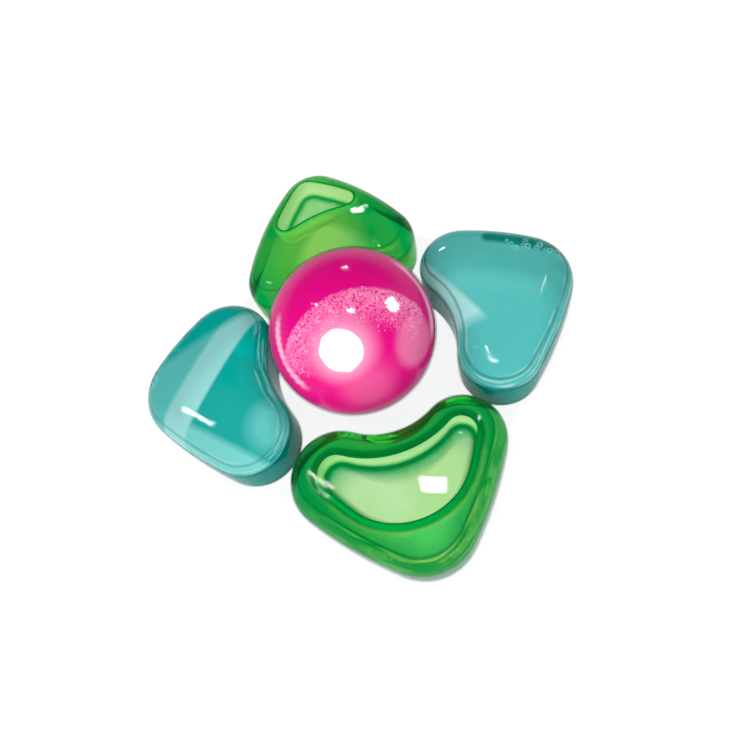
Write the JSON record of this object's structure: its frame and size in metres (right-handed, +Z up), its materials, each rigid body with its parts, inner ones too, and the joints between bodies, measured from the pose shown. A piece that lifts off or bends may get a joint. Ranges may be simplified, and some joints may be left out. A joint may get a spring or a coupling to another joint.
{
  "type": "laundry capsule",
  "caption": "Single-dose laundry capsule of clear film: a round magenta chamber ringed by boomerang chambers of green and teal gel, with air bubbles in the green.",
  "frame": {"origin": "centre of the underside, in the middle of the flat spot under the ball chamber", "axes": "+Z up, square to the film's web; -Y to the front chamber, +X to the right chamber"},
  "size_m": [0.0651, 0.0677, 0.0236],
  "materials": {
    "clear_film": "clear, smooth and glossy water-soluble film",
    "magenta_gel": "deep magenta gel with pale granules, glossy through the film",
    "green_gel": "clear green gel with yellow-green air bubbles",
    "teal_gel": "milky teal gel, glossy through the film"
  },
  "bodies": {
    "root": {"formed_film": "clear_film", "lid_film": "clear_film", "magenta_gel": "magenta_gel", "green_gel_front": "green_gel", "teal_gel_right": "teal_gel", "green_gel_rear": "green_gel", "teal_gel_left": "teal_gel"}
  },
  "joints": []
}
